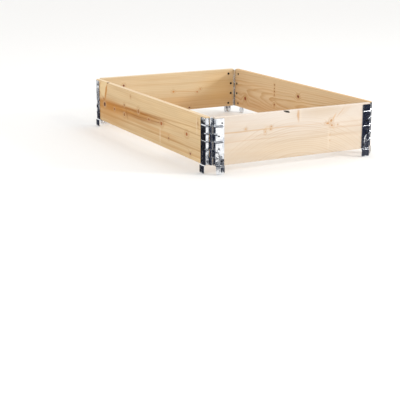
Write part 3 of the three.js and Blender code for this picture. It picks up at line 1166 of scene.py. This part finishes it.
@dataclass
class Board:
    """One spruce board with eased arrises, slightly uneven faces and its damage."""

    sizes: CollarSizes
    plan: SidePlan
    gouges: tuple[Gouge, ...] = ()
    length_step: float = 9.0
    height_step: float = 13.0
    unevenness: float = 0.25
    arris_reach: float = 8.0

    def model(self) -> Piece:
        """Models the board in the side's frame.

        Returns:
            The board.
        """
        sizes = self.sizes
        length = self.plan.span - 2 * sizes.board_start
        middle = Vector((0, sizes.board_thickness / 2, sizes.board_height / 2)) * MM
        Bench.clear()
        bpy.ops.mesh.primitive_cube_add(size=1, location=middle)
        piece = bpy.context.object
        piece.name = f"{self.plan.name}_board_finish"
        piece.scale = Vector((length, sizes.board_thickness, sizes.board_height)) * MM
        Bench.settle(piece)
        bpy.ops.object.mode_set(mode="EDIT")
        Bench.pick(piece, "EDGE", lambda a, b: abs(a.x - b.x) > 10)
        bpy.ops.mesh.bevel(offset=sizes.board_edge_round * MM, segments=3, profile=0.5, affect="EDGES")
        Bench.pick(piece, "EDGE", lambda a, b: abs(a.x - b.x) > 10)
        bpy.ops.mesh.subdivide(number_cuts=round(length / self.length_step))
        Bench.pick(piece, "EDGE", lambda a, b: abs(a.z - b.z) > 100)
        bpy.ops.mesh.subdivide(number_cuts=round(sizes.board_height / self.height_step))
        bpy.ops.object.mode_set(mode="OBJECT")
        self.weather(piece)
        for gouge in self.gouges:
            self.cut(piece, gouge)
        Bench.smooth(piece, 32)
        return piece

    def weather(self, piece: Piece) -> None:
        """Lets faces and arrises wander by a fraction of a millimetre.

        Args:
            piece: The board.
        """
        seed = Vector((self.plan.turn * 3.1, 7.7, 1.3))
        thickness = self.sizes.board_thickness
        height = self.sizes.board_height
        for point in piece.data.vertices:
            place = point.co / MM
            slow = noise.noise(Vector((place.x * 0.012, place.y, place.z * 0.03)) + seed)
            quick = noise.noise(Vector((place.x * 0.09, place.y, place.z * 0.09)) + seed)
            share = abs(place.y / thickness - 0.5) * 2
            side = 1 if place.y > thickness / 2 else -1
            place.y += -side * share * self.unevenness * (0.6 + 0.4 * slow) * abs(slow)
            edge = smoothstep(self.arris_reach, 0.0, min(place.z, height - place.z))
            down = -1 if place.z > height / 2 else 1
            place.z += down * edge * abs(quick) * self.unevenness * 1.6
            point.co = place * MM

    def cut(self, piece: Piece, gouge: Gouge) -> None:
        """Takes a torn scoop of wood off the board's top outer edge.

        Args:
            piece: The board.
            gouge: The scoop.
        """
        middle = Vector((gouge.middle, 0, self.sizes.board_height)) * MM
        Bench.clear()
        bpy.ops.mesh.primitive_ico_sphere_add(subdivisions=4, radius=1.0, location=middle)
        scoop = bpy.context.object
        scoop.scale = Vector((gouge.half_length, gouge.reach, gouge.depth)) * MM
        Bench.settle(scoop)
        for point in scoop.data.vertices:
            place = point.co / MM
            ragged = noise.noise(Vector((place.x * 0.06, place.y * 0.5, place.z * 0.35)))
            point.co = (place + ragged * Vector((0.0, 0.5, 1.1))) * MM
        cutter = {"operation": "DIFFERENCE", "object": scoop, "solver": "EXACT"}
        Bench.apply(piece, "missing wood", "BOOLEAN", **cutter)
        bpy.data.objects.remove(scoop, do_unlink=True)


LEFT_WOOD = SpruceFinish(
    name="spruce, knotty with a brown heart band",
    early="#E3C597",
    late="#C4935A",
    heart="#B37A3F",
    knot="#6A2C12",
    ring_gap=8.5,
    pith_depth=-30,
    pith_height=-70,
    pith_tilt=0.006,
    pith_rise=0.012,
    ring_strength=0.42,
    seed=13,
    sway=20,
    streaks=(
        Streak(102, 0.03, 20, 0.95, -560, -60, 330, "#BC7C28"),
        Streak(88, 0.036, 8, 0.4, -560, 60, 160, "#B0763A"),
        Streak(112, 0.03, 6, 0.5, -420, 120, 160, "#A2662C"),
        Streak(103, 0.034, 2.6, 0.6, -440, 60, 90, "#D6A360"),
        Streak(93.3, 0.038, 2.2, 0.7, -540, 160, 50, "#A0642E"),
        Streak(116, 0.04, 3.2, 0.5, 40, 560, 120, "#B98950"),
        Streak(112, 0, 2.6, 0.5, 120, 560, 120, "#B07C42"),
        Streak(45, 0.008, 4.5, 0.6, -560, 560, 40, "#BD8A4E"),
        Streak(64, -0.02, 12, 0.4, -560, 200, 200, "#C98E47"),
        Streak(22, 0, 7, 0.4, -560, 560, 200, "#C89657"),
        Streak(-139.4, -0.52, 8, 1, -526, -474, 8, "#A05A1C"),
    ),
    stains_and_painted_light=(
        StainOrPaintedLight(-450, 62, 260, 62, 0, "#CE9248", 0.65, 0.9),
        StainOrPaintedLight(-410, 96, 150, 30, 0.03, "#C07814", 0.4, 0.9),
        StainOrPaintedLight(-488, 160, 44, 50, 0.3, "#E9CC9A", 0.85, 0.35),
        StainOrPaintedLight(-453, 150, 12, 52, 0.33, "#C58230", 0.95, 0.6),
        StainOrPaintedLight(-536, 150, 5, 50, 0.25, "#C98D48", 0.5, 0.8),
        StainOrPaintedLight(152, 47, 8, 44, 0.03, "#F0DDBC", 0.4, 0.8),
        StainOrPaintedLight(-205, 82, 12, 26, -0.4, "#A76C36", 0.5, 0.8),
        StainOrPaintedLight(497, 150, 8, 44, 0, "#F0DCBB", 0.35, 0.8),
    ),
    knots=(
        Knot(-471.9, 85.3, 11, 10.5, "#5C2B10"),
        Knot(-350.7, 80.7, 6.5, 6, "#9A5A22"),
        Knot(-232.7, 118, 5.5, 6, "#A4682E"),
        Knot(-234.6, 73.8, 8, 7.5, "#A06428"),
        Knot(-158.7, 168.5, 4, 5, "#B98248"),
        Knot(-74.1, 114.1, 8, 9.5, "#A66A2E"),
        Knot(37.8, 95.7, 8.5, 5.5, "#A9622A"),
        Knot(165.7, 100.7, 10.5, 8, "#B0662A"),
        Knot(237.7, 49.1, 5, 5, "#9A5A2A"),
        Knot(406.7, 97, 9, 7.5, "#AE5F20"),
        Knot(506, 158, 3.5, 9, "#A66A38"),
        Knot(438, 22, 5.5, 4.5, "#84381A"),
    ),
    # Painted shade: a dark brown patch in the hollow at one end of the gouge.
    gouge_shades=(StainOrPaintedLight(-433, 193.6, 12, 2.8, 0, "#6B3A16", 0.95, 0.4),),
)

FRONT_WOOD = SpruceFinish(
    name="spruce, pale with fine grain",
    early="#D8CABA",
    late="#C09D75",
    heart="#BF9160",
    knot="#9A6234",
    ring_gap=9,
    pith_depth=-14,
    pith_height=-6,
    pith_tilt=0,
    pith_rise=0,
    ring_strength=0.6,
    seed=41,
    bow=0.0011,
    bow_at=10,
    sway=20,
    edge="#F1E6D8",
    streaks=(
        Streak(130.5, 0.004, 3, 0.75, -330, -40, 80, "#C99E6C"),
        Streak(129, 0, 2.4, 0.6, -40, 165, 20, "#CFA97C"),
        Streak(106, -0.01, 2, 0.35, 200, 330, 60),
        Streak(121, 0.01, 2, 0.3, 200, 330, 60),
        Streak(92, 0.01, 2.2, 0.35, -330, -60, 90),
        Streak(150, 0, 16, 0.3, -200, 160, 120, "#DCC7AD"),
    ),
    stains_and_painted_light=(
        StainOrPaintedLight(0, 36, 460, 70, 0, "#D6BE9C", 0.45, 0.9),
        StainOrPaintedLight(0, 180, 480, 62, 0, "#DCD3CA", 0.6, 0.9),
        StainOrPaintedLight(12, 172, 7, 29, -0.02, "#C49262", 0.75, 0.75),
        StainOrPaintedLight(22, 172, 4.5, 27, -0.02, "#EADBC4", 0.35, 0.8),
        # Painted shade: the upper face darker towards the right corner, where the light falls off.
        StainOrPaintedLight(120, 180, 150, 34, 0, "#C3AA8A", 0.5, 0.9),
        StainOrPaintedLight(222, 169, 2.6, 27, 0.92, "#C79A66", 0.65, 0.7),
        StainOrPaintedLight(240, 172, 2.2, 24, 0.92, "#CBA272", 0.55, 0.7),
        StainOrPaintedLight(256, 176, 2.2, 20, 0.92, "#CBA272", 0.5, 0.7),
        StainOrPaintedLight(189, 150, 5, 18, 0.55, "#CFA06C", 0.6, 0.8),
        StainOrPaintedLight(187, 103, 3, 14, -0.5, "#D6B388", 0.45, 0.8),
        StainOrPaintedLight(165, 60, 7, 60, 0, "#EBDCC8", 0.22, 0.9),
        StainOrPaintedLight(-130, 130, 22, 14, -0.8, "#D8BC97", 0.4, 0.9),
    ),
    knots=(
        Knot(174.1, 136, 6, 5.5, "#B98C62"),
        Knot(178.5, 115.9, 6.5, 4, "#B98C62"),
        Knot(157, 124.9, 7.5, 3.5, "#C08C5A"),
        Knot(208.8, 115.8, 2.5, 2.5, "#BC946C"),
        Knot(-116.3, 137.5, 4, 2.6, "#BC9066"),
        Knot(-118.3, 126.4, 3.5, 2.5, "#B58656"),
        Knot(-144.4, 117.6, 3.6, 5.5, "#C9A581"),
        Knot(-234.6, 137, 4, 3.5, "#C6A17A"),
        Knot(170.3, 52.7, 2, 2, "#C6A17A"),
        Knot(171, 76, 2, 2, "#C6A17A"),
    ),
    # Painted shade: a near-black patch in the gouge's hollow.
    gouge_shades=(StainOrPaintedLight(-43, 191.4, 10, 6.4, -1.6, "#15110E", 1, 0.3),),
)

RIGHT_WOOD = SpruceFinish(
    name="spruce, honey brown with arched grain",
    early="#E0C49C",
    late="#BE8C50",
    heart="#C08A4C",
    knot="#7A2812",
    ring_gap=9,
    pith_depth=62,
    pith_height=86,
    pith_tilt=0.05,
    pith_rise=0,
    ring_strength=0.8,
    seed=77,
    edge="#D6A25C",
    marked=14,
    unmarked=5,
    stains_and_painted_light=(
        StainOrPaintedLight(150, 190, 640, 62, 0, "#DABD94", 0.7, 0.9),
        StainOrPaintedLight(183, 130, 2.4, 55, 0, "#C99A5E", 0.5, 0.7),
        StainOrPaintedLight(-60, 70, 150, 60, 0, "#D3A264", 0.35, 0.9),
        StainOrPaintedLight(0, 20, 640, 70, 0, "#C4884A", 0.4, 0.9),
    ),
    knots=(
        Knot(467.4, 53.3, 9, 9, "#8A3316"),
        Knot(-30.2, 136.8, 8.5, 6.5),
        Knot(183, 163, 3.6, 3.4),
        Knot(183, 146, 2.8, 2.8),
        Knot(183, 131, 3.6, 3.4),
        Knot(183, 113, 2.8, 3),
        Knot(182, 65.7, 4.6, 4.4, "#8A3316"),
    ),
)

BACK_WOOD = SpruceFinish(
    name="spruce, light honey with few knots",
    early="#D8C09A",
    late="#BE9868",
    heart="#B98648",
    knot="#8A4B26",
    ring_gap=8,
    pith_depth=-60,
    pith_height=-40,
    pith_tilt=0.01,
    pith_rise=0.01,
    ring_strength=0.45,
    seed=105,
    sway=18,
    marked=14,
    unmarked=5,
    stains_and_painted_light=(
        # Painted shade: a darker golden band along the bottom of the inner face.
        StainOrPaintedLight(-60, 15, 480, 75, 0, "#BD8644", 0.5, 0.9),
        # Painted light: a lighter golden patch where the right board's shadow falls, for warm light bounced
        # into it.
        StainOrPaintedLight(-300, 95, 140, 90, 0, "#DDAE66", 0.4, 0.9),
    ),
    streaks=(
        Streak(103, 0.075, 2.4, 0.45, -150, -40, 15, "#BC8138"),
        Streak(60, 0, 14, 0.3, -350, 350, 60, "#CFA86F"),
    ),
    knots=(
        Knot(252.7, 150, 5.5, 6, "#7C3A1A"),
        Knot(-21.5, 99.4, 6, 5, "#C28646"),
        Knot(-156.9, 88.6, 5.5, 4.5, "#B87436"),
        Knot(-176.7, 102.3, 4.5, 4.5, "#C28646"),
        Knot(-112.9, 10.7, 5, 4.5, "#7C3A1A"),
    ),
)

WOODS = {"left": LEFT_WOOD, "front": FRONT_WOOD, "right": RIGHT_WOOD, "back": BACK_WOOD}
GOUGES = {"left": (Gouge(-485.5, 50, 5, 30),), "front": (Gouge(-46, 13, 9, 8),)}


class Collar:
    """The whole pallet collar: builds and dresses every piece."""

    def __init__(self) -> None:
        """Settles the sizes and makes the finishes that all sides share."""
        self.sizes = CollarSizes()
        self.leaves = HingeLeaf(self.sizes)
        self.fastenings = Fastenings(self.sizes)
        self.zinc = GalvanisedFinish().build()
        self.rivet_steel = RivetFinish().build()

    def build(self) -> None:
        """Models, places and dresses every piece."""
        leaf_masters = {first: self.leaves.model(first) for first in (0, 1)}
        rivet_master = self.fastenings.rivet()
        pin_master = self.fastenings.pin()
        for plan in SIDES:
            place = plan.place(self.sizes.lift)
            board = Board(self.sizes, plan, GOUGES.get(plan.name, ())).model()
            board.data.transform(place)
            wood = WOODS[plan.name].build(plan, self.sizes.lift)
            Bench.stands_for(board, plan.body, Slot.BOARD, wood)
            self.hinges(plan, place, leaf_masters[plan.first_knuckle], rivet_master)
        self.pins(pin_master)
        for master in (*leaf_masters.values(), rivet_master, pin_master):
            bpy.data.objects.remove(master, do_unlink=True)

    def hinges(self, plan: SidePlan, place: Matrix, leaf_master: Piece, rivet_master: Piece) -> None:
        """Puts two leaves and eight rivets on one board.

        Args:
            plan: The side.
            place: The move from the side's frame to the collar's.
            leaf_master: The leaf with the side's knuckles.
            rivet_master: The rivet.
        """
        for hand, end in zip((1, -1), plan.ends):
            stem = f"{plan.name}_board_{end}"
            corner = place @ Matrix.Translation((-hand * plan.span / 2 * MM, 0, 0))
            mirror = Matrix.Diagonal((hand, 1, 1, 1))
            leaf = Bench.copied(leaf_master, f"{stem}_leaf_finish", corner @ mirror)
            Bench.stands_for(leaf, plan.body, Slot.SHEET, self.zinc)
            for row, (reach, level) in enumerate(self.fastenings.rivet_places(), 1):
                spot = corner @ Matrix.Translation(Vector((hand * reach, 0, level)) * MM)
                rivet = Bench.copied(rivet_master, f"{stem}_rivet_{row}_finish", spot)
                Bench.stands_for(rivet, plan.body, Slot.RIVET, self.rivet_steel)

    def pins(self, pin_master: Piece) -> None:
        """Puts a pin in each corner.

        Args:
            pin_master: The pin.
        """
        sizes = self.sizes
        away_x = sizes.length / 2 - sizes.pin_inset
        away_y = sizes.width / 2 - sizes.pin_inset
        for end, end_sign in (("front", 1), ("back", -1)):
            for side, side_sign in (("left", -1), ("right", 1)):
                spot = Vector((end_sign * away_x, side_sign * away_y, sizes.lift)) * MM
                pin = Bench.copied(pin_master, f"{end}_{side}_pin_finish", Matrix.Translation(spot))
                Bench.stands_for(pin, f"{side}_side", Slot.SHEET, self.zinc)


@dataclass(frozen=True)
class Card:
    """A dark card with its middle and size in metres, tilted and then turned by some degrees."""

    name: str
    middle: tuple[float, float, float]
    extent: tuple[float, float]
    tilt: float = 0.0
    turn: float = 0.0


CARDS = (
    Card("left_card", (0.035, -0.54, 0.085), (1.93, 0.17), 90),
    Card("left_strip", (0.035, -0.474, 0.002), (1.93, 0.13)),
    Card("gap_card", (1.0, -0.425, 0.12), (0.23, 0.24), 90, 90),
    Card("gap_strip", (0.83, -0.385, 0.002), (0.34, 0.05)),
    Card("near_strip", (0.725, -0.06, 0.002), (0.23, 0.53)),
    Card("step_card", (0.8, 0.45, 0.9), (1.0, 1.6)),
    Card("right_card", (0.88, 0.57, 0.17), (0.34, 0.34), 90, 127),
    Card("right_strip", (0.78, 0.5, 0.002), (0.34, 0.34)),
    Card("high_card", (1.45, 0.12, 0.64), (1.0, 0.6), 65, 120),
    Card("back_card", (-0.35, 0.54, 0.085), (1.1, 0.17), 90),
    Card("back_strip", (-0.35, 0.474, 0.002), (1.1, 0.13)),
    Card("corner_strip", (-0.13, 0.0, 0.002), (0.84, 0.72)),
    Card("rear_card", (-1.3, -0.2, 0.62), (0.9, 0.5), 90, 130),
    Card("side_card", (0.0, 1.15, 0.62), (0.9, 0.5), 90, 140),
)


@dataclass
class Studio:
    """Camera, soft lights, pale floor and the dark cards that steel mirrors."""

    eye: tuple[float, float, float] = (3957.15, -2185.7, 943.3)
    heading: float = 2.661933
    dip: float = 0.267453
    lens: float = 89.505
    floor_size: float = 120.0

    def build(self) -> None:
        """Sets up the whole studio."""
        self.camera()
        self.floor()
        self.surroundings()
        self.lights()
        self.cards()

    @staticmethod
    def aimed(name: str, data: bpy.types.ID, spot: Vector, ahead: Vector) -> Piece:
        """Puts a camera or lamp in its place and points it.

        Args:
            name: The object's name.
            data: The camera or light.
            spot: Its place in metres.
            ahead: The way that it looks.

        Returns:
            The object.
        """
        item = bpy.data.objects.new(name, data)
        bpy.context.scene.collection.objects.link(item)
        item.location = spot
        item.rotation_mode = "QUATERNION"
        item.rotation_quaternion = ahead.to_track_quat("-Z", "Y")
        return item

    def camera(self) -> None:
        """Puts the camera where the photograph was taken."""
        data = bpy.data.cameras.new("camera")
        data.lens = self.lens
        data.sensor_width = 36.0
        data.clip_start = 0.05
        data.clip_end = 200.0
        level = math.cos(self.dip)
        ahead = (math.cos(self.heading) * level, math.sin(self.heading) * level, -math.sin(self.dip))
        camera = self.aimed("camera", data, Vector(self.eye) * MM, Vector(ahead))
        bpy.context.scene.camera = camera

    def floor(self) -> None:
        """Lays a plain pale floor just below the tongues."""
        Bench.clear()
        bpy.ops.mesh.primitive_plane_add(size=self.floor_size, location=(0, 0, -0.0005))
        floor = bpy.context.object
        floor.name = "studio_floor"
        floor.data.materials.append(plain("pale floor", "#F7F6F4", 0.9))

    def surroundings(self) -> None:
        """Fills the room with even white light."""
        world = bpy.data.worlds.new("soft room")
        bpy.context.scene.world = world
        tree = Tree(world)
        shell = tree.add("Background", {"Color": linear("#FFFFFF"), "Strength": 1.0})
        tree.add("OutputWorld", {0: shell})
        bpy.context.scene.view_settings.view_transform = "Standard"

    def lights(self) -> None:
        """Hangs the soft boxes."""
        boxes = (("key_box", (3.4, 3.6, 1.85), 0.7, 104.0), ("top_box", (0.0, 0.0, 4.0), 3.0, 22.0))
        for name, spot, size, power in boxes:
            data = bpy.data.lights.new(name, "AREA")
            data.shape = "SQUARE"
            data.size = size
            data.energy = power
            self.aimed(name, data, Vector(spot), Vector((0, 0, 0.1)) - Vector(spot))

    def cards(self) -> None:
        """Stands dark cards where only the steel's mirror image finds them."""
        material = plain("dark card", "#111B33", 1.0)
        for plan in CARDS:
            Bench.clear()
            bpy.ops.mesh.primitive_plane_add(size=1, location=plan.middle)
            card = bpy.context.object
            card.name = plan.name
            card.scale = (*plan.extent, 1)
            card.rotation_euler = (math.radians(plan.tilt), 0, math.radians(plan.turn))
            Bench.settle(card)
            card.data.materials.append(material)
            card.visible_camera = False
            card.visible_diffuse = False
            card.visible_shadow = False
            card.visible_transmission = False


def main() -> None:
    """Builds the dressed collar and its studio."""
    logging.basicConfig(level=logging.INFO, format="%(name)s: %(message)s")
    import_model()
    Collar().build()
    Studio().build()


if __name__ == "__main__":
    main()
